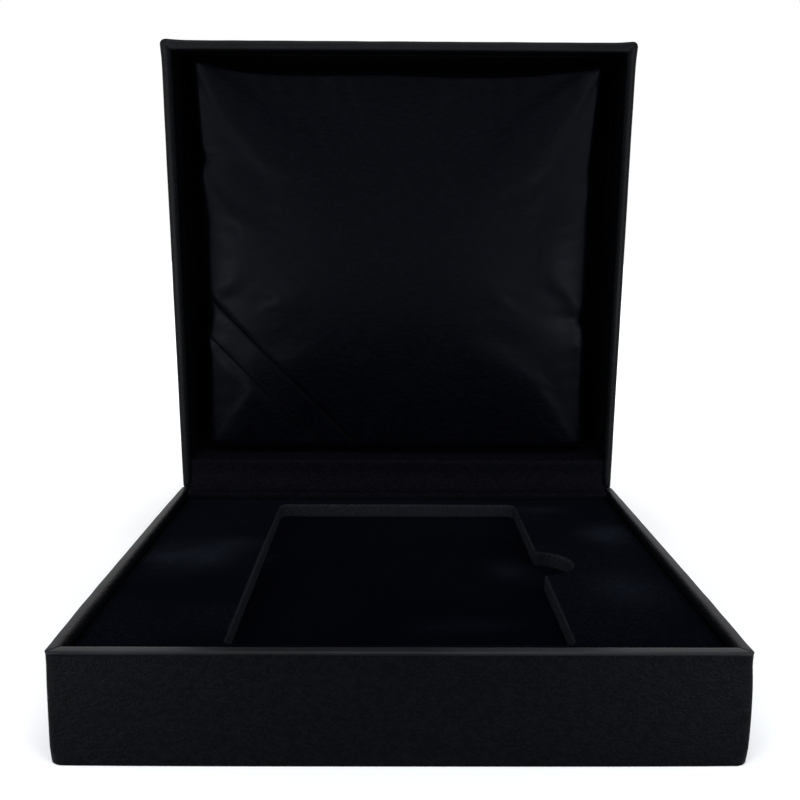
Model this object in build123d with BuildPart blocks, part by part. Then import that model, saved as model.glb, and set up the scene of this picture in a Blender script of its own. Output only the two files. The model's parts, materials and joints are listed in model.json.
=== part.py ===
"""Leatherette presentation box for a bar in a card-sized holder, with its lid standing open.

Lengths are millimetres. The base rests on z = 0, centred on x = 0 and y = 0, front towards -y.
Both trays are drawn in a frame of their own: the tray's floor is down, its mouth is up and its
hinge side is +y. The lid's frame is turned, so the lid is drawn where it stands open.
"""

import os
from math import cos, radians, sin

from build123d import *

os.makedirs("parts", exist_ok=True)

# The sealed bar's holder, the play that it has in its recess, and what is left round the recess
holder_width = 54.0
holder_length = 85.6
holder_width_play = 2.0
holder_length_play = 2.4
recess_side_margin = 26.0
recess_front_margin = 7.1
recess_back_margin = 12.9

# Outside of the box
base_height = 18.5
lid_height = 16.0
closed_gap = 0.3
opening_angle = 83.8
corner_radius = 1.0
foot_round = 0.7
rim_round = 0.15
overrun = 2.0

# Leatherette over board
skin = 0.35
wall_board = 1.6
floor_thickness = 1.9
base_turn_in = 9.0
turn_under = 12.0
sheet_thickness = 0.3
sheet_margin = 3.0
lining_thickness = 0.25
lining_clearance = 0.3

# Hinges: two small pinned hinges near the back edge, let into a rail in each tray
pivot_inset = 1.4
pin_radius = 0.5
pin_clearance = 0.05
leaf_thickness = 0.5
leaf_reach = 5.2
leaf_width = 14.0
leaf_clearance = 0.1
middle_knuckle = 4.6
knuckle_gap = 0.1
hinge_spacing = 60.0
relief_clearance = 0.25
base_leaf_margin = 1.2
lid_leaf_margin = 1.6
screw_radius = 0.5
screw_head_radius = 0.95
screw_length = 3.8
screw_spacing = 8.4
screw_reach = 3.4
screw_clearance = 0.03

# Leatherette strips that cross the hinge, inside and at the back
strip_clearance = 0.3
strip_fold_radius = 4.2
strip_edge_radius = 0.6
strip_tuck = 2.8
spine_inset = 3.0
spine_clearance = 0.1
spine_fold_flat = 0.05

# Insert with its recess for the holder and a notch for a thumb
insert_drop = 1.5
velvet = 0.5
insert_clearance = 0.3
recess_depth = 3.2
recess_corner = 2.0
notch_radius = 7.6
notch_reach = 6.4
notch_shift = -1.6
recess_board_thickness = 1.5

# Satin cushion in the lid, and the ribbon over its corner
cushion_side_gap = 4.0
cushion_near_gap = 2.0
cushion_far_gap = 2.9
cushion_side_draw = 1.7
cushion_far_draw = 2.6
cushion_near_bulge = 0.6
cushion_pinch = 0.9
cushion_corner = 3.2
cushion_crown_depth = 3.4
cushion_seam_depth = 10.8
cushion_foot_inset = 1.2
cushion_crown_share = 0.86
cushion_crown_steps = 7
satin = 0.3
cushion_board_thickness = 1.4
cushion_board_inset = 4.8
satin_window_inset = 16.0
ribbon_width = 6.3
ribbon_thickness = 0.3
ribbon_clearance = 0.05
ribbon_side_crossing = 33.0
ribbon_near_crossing = 31.0

# Shares of the cushion's side where its cover is drawn in, counted from the hinge end
pinch_shares = (0.39, 0.75)

# Sizes that follow
recess_width = holder_width + holder_width_play
recess_length = holder_length + holder_length_play
outer_width = recess_width + 2 * recess_side_margin
outer_depth = recess_front_margin + recess_length + recess_back_margin
tilt = radians(90 - opening_angle)
half_opening = radians(opening_angle / 2)
wall = 2 * skin + wall_board
board_width = outer_width - 2 * skin
board_depth = outer_depth - 2 * skin
board_corner = corner_radius - skin
clear_width = outer_width - 2 * wall
clear_front = wall - outer_depth / 2
rail_back = outer_depth / 2 - skin - wall_board
floor_top = skin + floor_thickness
lid_turn_in = lid_height - floor_top
axis_y = outer_depth / 2 - pivot_inset
base_rail_zone = pivot_inset + leaf_reach + base_leaf_margin
lid_rail_zone = pivot_inset + leaf_reach + lid_leaf_margin
spine_width = outer_width - 2 * spine_inset
cushion_width = clear_width - 2 * cushion_side_gap
cushion_near_edge = lid_rail_zone - pivot_inset + cushion_near_gap
cushion_far_edge = outer_depth - wall - pivot_inset - cushion_far_gap
cushion_length = cushion_far_edge - cushion_near_edge
cushion_crown_inset = cushion_crown_share * min(cushion_width, cushion_length) / 2
axis_rise = closed_gap / 2
knuckle_inner = pin_radius + pin_clearance
knuckle_outer = knuckle_inner + leaf_thickness
relief_radius = knuckle_outer + relief_clearance
groove_gap = skin + spine_clearance
hinge_places = (-hinge_spacing / 2, hinge_spacing / 2)

# Frames: the base's tray, the lid's face seen from the front, the lid's tray, and the V groove
# that opens between the two trays at the back when the lid is closed
base_tray = Plane.XY.offset(sheet_thickness)
base_tray_height = base_height - sheet_thickness
pivot = Vector(0, axis_y, base_height + axis_rise)
mouth_direction = Vector(0, -cos(tilt), -sin(tilt))
lid_face = Plane(origin=pivot, x_dir=(1, 0, 0), z_dir=mouth_direction)
lid_middle = Vector(0, axis_y, -axis_rise - lid_height)
lid_tray = Plane(
    origin=lid_face.from_local_coords(lid_middle), x_dir=(-1, 0, 0), z_dir=mouth_direction
)
groove = Plane(
    origin=pivot, x_dir=(0, cos(half_opening), -sin(half_opening)), z_dir=(1, 0, 0)
)


def finish(part, name):
    """Names a finished piece and writes its file."""
    part.label = name
    export_step(part, f"parts/{name}.step")


def block(plane, bottom, top, x_range, y_range, mode=Mode.ADD):
    """A block between two heights of a plane."""
    with BuildSketch(plane.offset(bottom)) as outline:
        with Locations((x_range[0], y_range[0])):
            Rectangle(x_range[1] - x_range[0], y_range[1] - y_range[0], align=Align.MIN)
    extrude(outline.sketch, amount=top - bottom, mode=mode)


def cut_groove(is_base):
    """Cuts the channel for the knuckles, and the bevel that the open lid stops on."""
    side = 1 if is_base else -1
    with BuildSketch(groove) as channel:
        Circle(relief_radius)
        with Locations((0, -side * groove_gap)):
            align = (Align.MIN, Align.MIN if is_base else Align.MAX)
            Rectangle(wall + overrun, base_height, align=align)
    extrude(channel.sketch, amount=outer_width / 2 + overrun, both=True, mode=Mode.SUBTRACT)


def screw_circles(plane, hinge_x, radius):
    """The two screw places of one hinge leaf."""
    with BuildSketch(plane) as places:
        with Locations((hinge_x, axis_y - screw_reach)):
            with GridLocations(screw_spacing, 0, 2, 1):
                Circle(radius)
    return places.sketch


def sunk_screws(plane, hinge_x, grow, mode=Mode.ADD):
    """Two countersunk screws below a plane, or with a clearance the holes for them."""
    shanks = screw_circles(plane, hinge_x, screw_radius + grow)
    extrude(shanks, amount=-screw_length - grow, mode=mode)
    heads = screw_circles(plane, hinge_x, screw_head_radius + grow)
    extrude(heads, amount=screw_radius - screw_head_radius, taper=45, mode=mode)


def make_tray(body, tray, height, turn_in, rail_zone, right):
    """Every piece that the base and the lid both have."""
    is_base = body == "base"
    wall_top = height - skin
    rail_front = outer_depth / 2 - rail_zone + skin
    rail_top = height + axis_rise - knuckle_inner
    leaf_top = tray.offset(rail_top)
    up = Axis(tray.origin, tray.z_dir)

    with BuildPart() as floor_board:
        with BuildSketch(tray.offset(skin)):
            RectangleRounded(board_width, board_depth, board_corner)
        extrude(amount=floor_thickness)
    finish(floor_board.part, "base_floor_board" if is_base else "lid_top_board")

    for name, side in (("front", -1), ("back", 1)):
        with BuildPart() as end_board:
            with BuildSketch(tray.offset(floor_top)):
                RectangleRounded(board_width, board_depth, board_corner)
                with Locations((0, -side * wall_board)):
                    Rectangle(board_width + overrun, board_depth, mode=Mode.SUBTRACT)
            extrude(amount=wall_top - floor_top)
            cut_groove(is_base)
        finish(end_board.part, f"{body}_{name}_board")

    for name, side in (("left", -right), ("right", right)):
        x_range = sorted((side * board_width / 2, side * (board_width / 2 - wall_board)))
        with BuildPart() as side_board:
            block(tray, floor_top, wall_top, x_range, (wall_board - board_depth / 2, rail_back))
            cut_groove(is_base)
        finish(side_board.part, f"{body}_{name}_board")

    with BuildPart() as rail:
        x_range = (-clear_width / 2, clear_width / 2)
        block(tray, floor_top, rail_top, x_range, (rail_front, rail_back))
        top_edges = rail.faces().sort_by(up)[-1].edges()
        front_edge = top_edges.sort_by(Axis(tray.origin, tray.y_dir))[0]
        fillet(front_edge, strip_edge_radius - skin / 2)
        cut_groove(is_base)
        for hinge_x in hinge_places:
            half_slot = leaf_width / 2 + leaf_clearance
            x_range = (hinge_x - half_slot, hinge_x + half_slot)
            y_range = (axis_y - leaf_reach - leaf_clearance, outer_depth / 2)
            block(tray, rail_top - leaf_thickness, height, x_range, y_range, Mode.SUBTRACT)
            shanks = screw_circles(leaf_top, hinge_x, screw_radius + screw_clearance)
            extrude(shanks, amount=-screw_length - screw_clearance, mode=Mode.SUBTRACT)
    finish(rail.part, f"{body}_hinge_rail")

    with BuildPart() as wrap:
        with BuildSketch(tray):
            RectangleRounded(outer_width, outer_depth, corner_radius)
        extrude(amount=height)
        fillet(wrap.faces().sort_by(up)[0].edges(), foot_round)
        fillet(wrap.faces().sort_by(up)[-1].edges(), rim_round)
        with BuildSketch(tray.offset(skin)):
            RectangleRounded(board_width, board_depth, board_corner)
        extrude(amount=height - turn_in - skin, mode=Mode.SUBTRACT)
        with BuildSketch(tray.offset(height - turn_in)):
            RectangleRounded(board_width, board_depth, board_corner)
            inner = (board_width - 2 * wall_board, board_depth - 2 * wall_board)
            Rectangle(*inner, mode=Mode.SUBTRACT)
        extrude(amount=turn_in - skin, mode=Mode.SUBTRACT)
        x_range = (-clear_width / 2, clear_width / 2)
        block(tray, skin, height + overrun, x_range, (clear_front, rail_back), Mode.SUBTRACT)
        x_range = (-spine_width / 2, spine_width / 2)
        y_range = (rail_back, outer_depth / 2 + overrun)
        block(tray, skin, height + overrun, x_range, y_range, Mode.SUBTRACT)
        if is_base:
            with BuildSketch(tray):
                Rectangle(outer_width - 2 * turn_under, outer_depth - 2 * turn_under)
            extrude(amount=skin, mode=Mode.SUBTRACT)
        cut_groove(is_base)
    finish(wrap.part, f"{body}_wrap")

    # The base's leaves have the outer knuckles and the lid's have the middle one
    half_middle = middle_knuckle / 2
    outer_start = half_middle + knuckle_gap
    outer_knuckles = ((-leaf_width / 2, -outer_start), (outer_start, leaf_width / 2))
    knuckles = outer_knuckles if is_base else ((-half_middle, half_middle),)
    with BuildPart() as leaves:
        for hinge_x in hinge_places:
            x_range = (hinge_x - leaf_width / 2, hinge_x + leaf_width / 2)
            y_range = (axis_y - leaf_reach, axis_y - relief_radius)
            block(tray, rail_top - leaf_thickness, rail_top, x_range, y_range)
            for low, high in knuckles:
                start = Vector(hinge_x + low, axis_y, height + axis_rise)
                origin = tray.from_local_coords(start)
                with BuildSketch(Plane(origin=origin, x_dir=tray.y_dir, z_dir=tray.x_dir)):
                    Circle(knuckle_outer)
                    with Locations((-relief_radius, -knuckle_outer)):
                        Rectangle(relief_radius, leaf_thickness, align=Align.MIN)
                    Circle(knuckle_inner, mode=Mode.SUBTRACT)
                extrude(amount=high - low)
            sunk_screws(leaf_top, hinge_x, screw_clearance, Mode.SUBTRACT)
    finish(leaves.part, f"{body}_hinge_leaves")

    with BuildPart() as screws:
        for hinge_x in hinge_places:
            sunk_screws(leaf_top, hinge_x, 0)
    finish(screws.part, f"{body}_hinge_screws")


make_tray("base", base_tray, base_tray_height, base_turn_in, base_rail_zone, 1)
make_tray("lid", lid_tray, lid_height, lid_turn_in, lid_rail_zone, -1)

with BuildPart() as hinge_pins:
    for hinge_x in hinge_places:
        start = Vector(hinge_x - leaf_width / 2, pivot.Y, pivot.Z)
        with BuildSketch(Plane(origin=start, x_dir=(0, 1, 0), z_dir=(1, 0, 0))):
            Circle(pin_radius)
        extrude(amount=leaf_width)
finish(hinge_pins.part, "hinge_pins")


def strip_across(name, points, radii, width):
    """A leatherette strip of one thickness along a filleted line in the plane of the groove."""
    local_points = [groove.to_local_coords(point) for point in points]
    with BuildPart() as strip:
        with BuildSketch(groove):
            with BuildLine():
                FilletPolyline(*local_points, radius=radii)
            trace(line_width=skin)
        extrude(amount=width / 2, both=True)
    finish(strip.part, name)


# Inner strip: tucked behind the insert, over both rails and down into the lid
line_below_axis = knuckle_inner - skin / 2
base_strip_y = outer_depth / 2 - base_rail_zone + skin / 2
lid_strip_reach = lid_rail_zone - pivot_inset - skin / 2
insert_top = base_height - insert_drop
lid_floor = -axis_rise - lid_height + floor_top
strip_across(
    "inner_hinge_strip",
    [
        Vector(0, base_strip_y, insert_top - strip_tuck),
        Vector(0, base_strip_y, pivot.Z - line_below_axis),
        groove.from_local_coords(Vector(line_below_axis / sin(half_opening), 0, 0)),
        lid_face.from_local_coords(Vector(0, lid_strip_reach, -line_below_axis)),
        lid_face.from_local_coords(Vector(0, lid_strip_reach, lid_floor + strip_clearance)),
    ],
    (strip_edge_radius, strip_fold_radius, strip_edge_radius),
    clear_width - 2 * strip_clearance,
)

# Back spine: up the base's back, into the groove, out again and over the lid's back
layer = groove_gap / 2
fold_depth = relief_radius + skin / 2
edge_reach = pivot_inset - skin / 2 + layer * sin(half_opening)
edge_depth = edge_reach / cos(half_opening)
spine_edge = axis_rise + lid_height - foot_round
strip_across(
    "back_spine",
    [
        Vector(0, outer_depth / 2 - skin / 2, sheet_thickness + foot_round),
        groove.from_local_coords(Vector(edge_depth, -layer, 0)),
        groove.from_local_coords(Vector(fold_depth, -layer, 0)),
        groove.from_local_coords(Vector(fold_depth, layer, 0)),
        groove.from_local_coords(Vector(edge_depth, layer, 0)),
        lid_face.from_local_coords(Vector(0, skin / 2 - pivot_inset, -spine_edge)),
    ],
    layer - spine_fold_flat / 2,
    spine_width - 2 * spine_clearance,
)

with BuildPart() as underside_sheet:
    with BuildSketch():
        sheet_size = outer_width - 2 * sheet_margin
        RectangleRounded(sheet_size, sheet_size, corner_radius)
    extrude(amount=sheet_thickness)
finish(underside_sheet.part, "underside_sheet")

# Paper on the lid's floor, from the strip to the front wall, that the cushion is glued to
lining_top = lid_floor + lining_thickness
with BuildPart() as lid_lining_paper:
    half_lining = clear_width / 2 - lining_clearance
    y_range = (
        lid_rail_zone - pivot_inset + lining_clearance,
        outer_depth - wall - pivot_inset - lining_clearance,
    )
    block(lid_face, lid_floor, lining_top, (-half_lining, half_lining), y_range)
finish(lid_lining_paper.part, "lid_lining_paper")

# Insert: foam block, board and velvet under the recess, then a velvet-covered frame round it
half_insert = clear_width / 2 - insert_clearance
insert_x = (-half_insert, half_insert)
insert_y = (clear_front + insert_clearance, outer_depth / 2 - base_rail_zone - insert_clearance)
recess_floor = insert_top - recess_depth
recess_board_top = recess_floor - velvet
foam_top = recess_board_top - recess_board_thickness
recess_y = recess_front_margin + recess_length / 2 - outer_depth / 2
notch_x = recess_width / 2 + notch_reach - notch_radius


def recess_outline(grow):
    """The recess with its thumb notch, grown by a thickness of velvet where asked."""
    with Locations((0, recess_y)):
        size = (recess_width + 2 * grow, recess_length + 2 * grow)
        RectangleRounded(*size, recess_corner + grow, mode=Mode.SUBTRACT)
        with Locations((notch_x, notch_shift)):
            Circle(notch_radius + grow, mode=Mode.SUBTRACT)


def insert_outline(inset):
    """The insert's rectangle between the side walls, the front wall and the hinge strip."""
    with Locations((insert_x[0] + inset, insert_y[0] + inset)):
        size = (insert_x[1] - insert_x[0], insert_y[1] - insert_y[0])
        Rectangle(size[0] - 2 * inset, size[1] - 2 * inset, align=Align.MIN)


layers = (
    ("insert_foam_block", sheet_thickness + floor_top, foam_top),
    ("recess_board", foam_top, recess_board_top),
    ("recess_velvet", recess_board_top, recess_floor),
)
for name, bottom, top in layers:
    with BuildPart() as insert_layer:
        block(Plane.XY, bottom, top, insert_x, insert_y)
    finish(insert_layer.part, name)

with BuildPart() as insert_platform:
    with BuildSketch(Plane.XY.offset(recess_floor)):
        insert_outline(velvet)
        recess_outline(velvet)
    extrude(amount=recess_depth - velvet)
finish(insert_platform.part, "insert_platform")

with BuildPart() as insert_velvet:
    with BuildSketch(Plane.XY.offset(recess_floor)):
        insert_outline(0)
        recess_outline(0)
    extrude(amount=recess_depth)
    add(insert_platform.part, mode=Mode.SUBTRACT)
finish(insert_velvet.part, "insert_velvet")


def cushion_outline(inset):
    """The cushion's outline at one level, drawn in between its corners and at its pinches."""
    half = cushion_width / 2 - inset
    near = cushion_near_edge + inset
    far = cushion_far_edge - inset
    shrink = half / (cushion_width / 2)
    corner = cushion_corner * shrink
    corner_middle = corner * (1 - cos(radians(45)))
    run = far - near - 2 * corner

    def side_point(side, share, extra=0):
        drawn = cushion_side_draw * 4 * share * (1 - share) + extra
        return (side * (half - shrink * drawn), near + corner + run * share)

    def corner_arc(side, edge, inward):
        ThreePointArc(
            (side * half, edge + inward * corner),
            (side * (half - corner_middle), edge + inward * corner_middle),
            (side * (half - corner), edge),
        )

    stops = (0, *pinch_shares, 1)
    with BuildLine() as outline:
        for side in (-1, 1):
            for low, high in zip(stops, stops[1:]):
                ThreePointArc(
                    side_point(side, low, cushion_pinch if low > 0 else 0),
                    side_point(side, (low + high) / 2),
                    side_point(side, high, cushion_pinch if high < 1 else 0),
                )
            corner_arc(side, near, 1)
            corner_arc(side, far, -1)
        for edge, offset in ((near, -cushion_near_bulge), (far, -cushion_far_draw)):
            ThreePointArc(
                (corner - half, edge), (0, edge + offset * shrink), (half - corner, edge)
            )
    make_face(outline.line)


def cushion_form(grow):
    """The cushion's crowned form, from its foot on the lining past its seam to its crown."""
    seam = -axis_rise - cushion_seam_depth
    rise = cushion_seam_depth - cushion_crown_depth + grow
    with BuildPart() as form:
        with BuildSketch(lid_face.offset(lining_top - grow)):
            cushion_outline(cushion_foot_inset - grow)
        with BuildSketch(lid_face.offset(seam)):
            cushion_outline(-grow)
        for step in range(cushion_crown_steps):
            turn = radians(90 * (step + 1) / cushion_crown_steps)
            with BuildSketch(lid_face.offset(seam + rise * sin(turn))):
                cushion_outline(cushion_crown_inset * (1 - cos(turn)) - grow)
        loft(ruled=True)
    return form.part


cushion_middle = (cushion_near_edge + cushion_far_edge) / 2
board_bottom = lining_top + satin
board_top = board_bottom + cushion_board_thickness


def cushion_block(bottom, top, inset, mode=Mode.ADD):
    """A block under the cushion, inset from its corners."""
    half_width = cushion_width / 2 - inset
    half_length = cushion_length / 2 - inset
    y_range = (cushion_middle - half_length, cushion_middle + half_length)
    block(lid_face, bottom, top, (-half_width, half_width), y_range, mode)


with BuildPart() as cushion_board:
    cushion_block(board_bottom, board_top, cushion_board_inset)
finish(cushion_board.part, "cushion_board")

with BuildPart() as cushion_foam:
    add(cushion_form(-satin))
    cushion_block(lining_top - overrun, board_top, -overrun, Mode.SUBTRACT)
finish(cushion_foam.part, "cushion_foam")

with BuildPart() as lid_cushion:
    add(cushion_form(0))
    add(cushion_form(-satin), mode=Mode.SUBTRACT)
    cushion_block(lining_top, board_bottom, satin_window_inset, Mode.SUBTRACT)
finish(lid_cushion.part, "lid_cushion")

# The ribbon crosses the corner by the hinge on the left, and is tucked in at both ends
ribbon_start = Vector(-cushion_width / 2, cushion_near_edge + ribbon_side_crossing)
ribbon_end = Vector(ribbon_near_crossing - cushion_width / 2, cushion_near_edge)
ribbon_run = ribbon_end - ribbon_start
ribbon_plane = Plane(
    origin=lid_face.from_local_coords((ribbon_start + ribbon_end) / 2),
    x_dir=lid_face.from_local_coords(ribbon_run) - lid_face.origin,
    z_dir=lid_face.z_dir,
)
with BuildPart() as certificate_ribbon:
    add(cushion_form(ribbon_clearance + ribbon_thickness))
    add(cushion_form(ribbon_clearance), mode=Mode.SUBTRACT)
    with BuildSketch(ribbon_plane.offset(lining_top)):
        Rectangle(ribbon_run.length + cushion_corner * 4, ribbon_width)
    extrude(amount=-lining_top, mode=Mode.INTERSECT)
finish(certificate_ribbon.part, "certificate_ribbon")
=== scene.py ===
import json
import math

import bpy
import numpy as np
from mathutils import Matrix


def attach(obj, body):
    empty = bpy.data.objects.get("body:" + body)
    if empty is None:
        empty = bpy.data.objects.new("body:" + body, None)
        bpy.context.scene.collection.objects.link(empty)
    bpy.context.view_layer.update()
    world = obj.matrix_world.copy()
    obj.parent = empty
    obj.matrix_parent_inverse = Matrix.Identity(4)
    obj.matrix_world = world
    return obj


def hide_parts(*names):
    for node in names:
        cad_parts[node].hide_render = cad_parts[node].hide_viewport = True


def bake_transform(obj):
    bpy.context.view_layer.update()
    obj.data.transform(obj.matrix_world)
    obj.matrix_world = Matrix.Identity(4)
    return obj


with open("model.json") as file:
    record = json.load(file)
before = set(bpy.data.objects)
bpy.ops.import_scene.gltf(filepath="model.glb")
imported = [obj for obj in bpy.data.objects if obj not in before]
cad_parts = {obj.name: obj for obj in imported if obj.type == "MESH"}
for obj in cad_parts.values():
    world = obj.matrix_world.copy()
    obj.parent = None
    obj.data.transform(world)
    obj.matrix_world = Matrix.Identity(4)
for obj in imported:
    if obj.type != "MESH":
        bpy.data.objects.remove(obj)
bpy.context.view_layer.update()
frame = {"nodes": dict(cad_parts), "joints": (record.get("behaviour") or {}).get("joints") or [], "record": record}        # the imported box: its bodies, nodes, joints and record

# Presentation box for a small bar: leatherette trays, velvet insert, satin lining with a ribbon.
# Lengths in the dictionaries are millimetres and become metres where a mesh is made.

mm = 0.001


# The hinge, and the lid's own frame: x, up the lid, and out of its mouth, all from the pivot
hinge = frame["joints"][0]
pivot = np.array(hinge["pos_m"]) / mm
halfTurn = math.radians(hinge["range_deg"][1]) / 2
lean = math.pi / 2 - 2 * halfTurn
lidUp = np.array([0, -math.sin(lean), math.cos(lean)])
lidOut = np.array([0, -math.cos(lean), -math.sin(lean)])
groovePlane = np.array([0, math.sin(halfTurn), math.cos(halfTurn)])
grooveRun = np.array([0, math.cos(halfTurn), -math.sin(halfTurn)])


def stacked(*parts):
    # points from their coordinates, which are spread to one shape
    return np.stack(np.broadcast_arrays(*parts), -1)


def fromLid(x, up, out):
    x, up, out = np.broadcast_arrays(x, up, out)
    return pivot + stacked(x, 0, 0) + up[..., None] * lidUp + out[..., None] * lidOut


def nodeBox(name, inLid=False):
    # lowest and highest corner of a node, in the lid's frame where asked
    mesh = frame["nodes"][name].data
    points = np.empty(len(mesh.vertices) * 3)
    mesh.vertices.foreach_get("co", points)
    points = points.reshape(-1, 3) / mm
    if inLid:
        points = (points - pivot) @ np.array([[1, 0, 0], lidUp, lidOut]).T
    return points.min(0), points.max(0)


def ripple(points, wavelength, seed):
    # smooth noise from -1 to 1: the mean of eight slanted sine waves of mixed lengths
    rng = np.random.default_rng(seed)
    slant = rng.normal(size=(8, 3))
    slant /= np.linalg.norm(slant, axis=1)[:, None]
    lengths = wavelength * rng.uniform(0.7, 1.6, 8)
    waves = points @ (slant / lengths[:, None]).T * 2 * math.pi + rng.uniform(0, 2 * math.pi, 8)
    return np.sin(waves).mean(-1) * 1.6


def bell(distance, width):
    return np.exp(-(distance / width) ** 2)


def step(value, low, high):
    # smooth step from 0 at low to 1 at high
    share = np.clip((value - low) / (high - low), 0, 1)
    return share * share * (3 - 2 * share)


def filletLine(corners, radii, spacing, arcSteps=10):
    # straight runs with an arc at each inner corner; arc point = centre + slerp of the two radii
    corners = np.array(corners, float)
    start, stretches = corners[0], []

    def run(a, b):
        count = max(2, math.ceil(np.linalg.norm(b - a) / spacing))
        return a + (b - a) * np.arange(count)[:, None] / count

    for before, corner, after, radius in zip(corners, corners[1:], corners[2:], radii):
        back = (before - corner) / np.linalg.norm(before - corner)
        on = (after - corner) / np.linalg.norm(after - corner)
        half = math.acos(np.clip(back @ on, -1, 1)) / 2
        enter, leave = corner + back * radius / math.tan(half), corner + on * radius / math.tan(half)
        centre = corner + (back + on) / np.linalg.norm(back + on) * radius / math.sin(half)
        turn = math.pi - 2 * half
        share = np.arange(arcSteps)[:, None] / arcSteps
        arc = np.sin((1 - share) * turn) * (enter - centre) + np.sin(share * turn) * (leave - centre)
        stretches += [run(start, enter), centre + arc / math.sin(turn)]
        start = leave
    return np.vstack(stretches + [run(start, corners[-1]), corners[-1:]])


def sideways(line):
    # unit normals of a line of 2D points, on its right
    along = np.gradient(line, axis=0)
    along /= np.linalg.norm(along, axis=1)[:, None]
    return np.stack([along[:, 1], -along[:, 0]], 1)


def ringKeys(sideCount, cornerCount):
    # a walk round a rounded rectangle: share of each half side in x and y, and the normal's angle
    keys = []
    for quarter in range(4):
        angle = quarter * math.pi / 2
        c, s = round(math.cos(angle)), round(math.sin(angle))
        along = -np.cos(np.arange(sideCount) / sideCount * math.pi) * 0.35
        along += (np.arange(sideCount) / sideCount * 2 - 1) * 0.65
        keys.append(np.stack([c - s * along, s + c * along, along * 0 + angle], 1))
        turned = angle + np.arange(cornerCount) / cornerCount * math.pi / 2
        keys.append(np.stack([turned * 0 + c - s, turned * 0 + s + c, turned], 1))
    return np.vstack(keys).T


def ringPoints(keys, halfX, halfY, radius):
    # x = share * (half side - radius) + radius * cos(angle), and y alike with sin
    x = keys[0] * (halfX - radius) + radius * np.cos(keys[2])
    y = keys[1] * (halfY - radius) + radius * np.sin(keys[2])
    return x, y


def shellFaces(rows, columns, closed, openStart):
    # quads of two matching grids, outer then inner, joined along their first and last rows and open ends
    span = np.arange(columns if closed else columns - 1)
    after, inner, last = (span + 1) % columns, rows * columns, (rows - 1) * columns
    row = np.arange(rows - 1)[:, None] * columns
    near, far = (row + span).ravel(), (row + after).ravel()
    quads = [(near, far, far + columns, near + columns),
             (near + inner, near + columns + inner, far + columns + inner, far + inner)]
    edges = [] if openStart else [(after, span)]
    edges.append((last + span, last + after))
    if not closed:
        side = row.ravel()
        end = side + columns - 1
        edges += [(side, side + columns), (end + columns, end)]
    quads += [(a, b, b + inner, a + inner) for a, b in edges]
    return np.vstack([np.stack(quad, 1) for quad in quads])


def makeMesh(name, points, quads):
    # a mesh from whole arrays, its faces turned outward by the sign of its volume
    a, b, c, d = (points[quads[:, k]] for k in range(4))
    volume = np.einsum("ij,ij->", a, np.cross(b, c)) + np.einsum("ij,ij->", a, np.cross(c, d))
    if volume < 0:
        quads = quads[:, ::-1]
    mesh = bpy.data.meshes.new(name)
    mesh.vertices.add(len(points))
    mesh.vertices.foreach_set("co", (points * mm).astype(np.float32).ravel())
    mesh.loops.add(quads.size)
    mesh.loops.foreach_set("vertex_index", quads.astype(np.int32).ravel())
    mesh.polygons.add(len(quads))
    mesh.polygons.foreach_set("loop_start", np.arange(0, quads.size, 4, dtype=np.int32))
    mesh.update(calc_edges=True)
    mesh.polygons.foreach_set("use_smooth", np.ones(len(quads), bool))
    piece = bpy.data.objects.new(name, mesh)
    bpy.context.scene.collection.objects.link(piece)
    return piece


def makeShell(name, outer, inner, closed=False, openStart=False, welded=False, **marks):
    # one closed piece of two matching grids; a mark is an attribute with a value per outer and inner point
    quads = shellFaces(*outer.shape[:2], closed, openStart)
    piece = makeMesh(name, np.vstack([outer.reshape(-1, 3), inner.reshape(-1, 3)]), quads)
    for label, (outside, inside) in marks.items():
        mark = piece.data.attributes.new(label, "FLOAT", "POINT")
        mark.data.foreach_set("value", np.concatenate([outside.ravel(), inside.ravel()]).astype(np.float32))
    if welded:
        # merges points that coincide, where a grid is drawn in to one place
        piece.modifiers.new("weld", "WELD").merge_threshold = 0.002 * mm
        graph = bpy.context.evaluated_depsgraph_get()
        done = bpy.data.meshes.new_from_object(piece.evaluated_get(graph), depsgraph=graph)
        piece.modifiers.clear()
        piece.data = done
    return piece


# Materials

def setInputs(made, inputs):
    # links each socket and sets each plain value
    for key, value in inputs.items():
        if isinstance(value, bpy.types.NodeSocket):
            made.id_data.links.new(value, made.inputs[key])
        else:
            made.inputs[key].default_value = value
    return made


def node(kind, inputs, tree=None, **settings):
    # made in the tree of its first linked input, unless a tree is given
    tree = tree or next(v.id_data for v in inputs.values() if isinstance(v, bpy.types.NodeSocket))
    made = tree.nodes.new("ShaderNode" + kind)
    for key, value in settings.items():
        setattr(made, key, value)
    return setInputs(made, inputs)


def math2(operation, a, b=0.0, clamp=False):
    return node("Math", {0: a, 1: b}, operation=operation, use_clamp=clamp).outputs[0]


def plus(a, b, clamp=False):
    return math2("ADD", a, b, clamp)


def minus(a, b):
    return math2("SUBTRACT", a, b)


def times(a, b):
    return math2("MULTIPLY", a, b)


def remap(value, low, high, toLow=0.0, toHigh=1.0):
    inputs = {0: value, 1: low, 2: high, 3: toLow, 4: toHigh}
    return node("MapRange", inputs, interpolation_type="SMOOTHSTEP").outputs[0]


def mixed(share, low, high):
    # colours are sockets or plain triples
    low, high = ((*end, 1) if isinstance(end, tuple) else end for end in (low, high))
    return node("Mix", {0: share, 6: low, 7: high}, data_type="RGBA").outputs[2]


def scaled(where, scale):
    return node("Mapping", {"Vector": where, "Scale": scale}).outputs[0]


def noise(where, scale, detail, **more):
    return node("TexNoise", {"Vector": where, "Scale": scale, "Detail": detail, **more}).outputs["Fac"]


def bump(height, depth):
    return node("Bump", {"Height": height, "Distance": depth * mm, "Strength": 1.0}).outputs[0]


def marked(where, name):
    # a mark of the mesh, in the tree of the socket where
    return node("Attribute", {}, where.id_data, attribute_name=name).outputs["Fac"]


groups = {}


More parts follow.
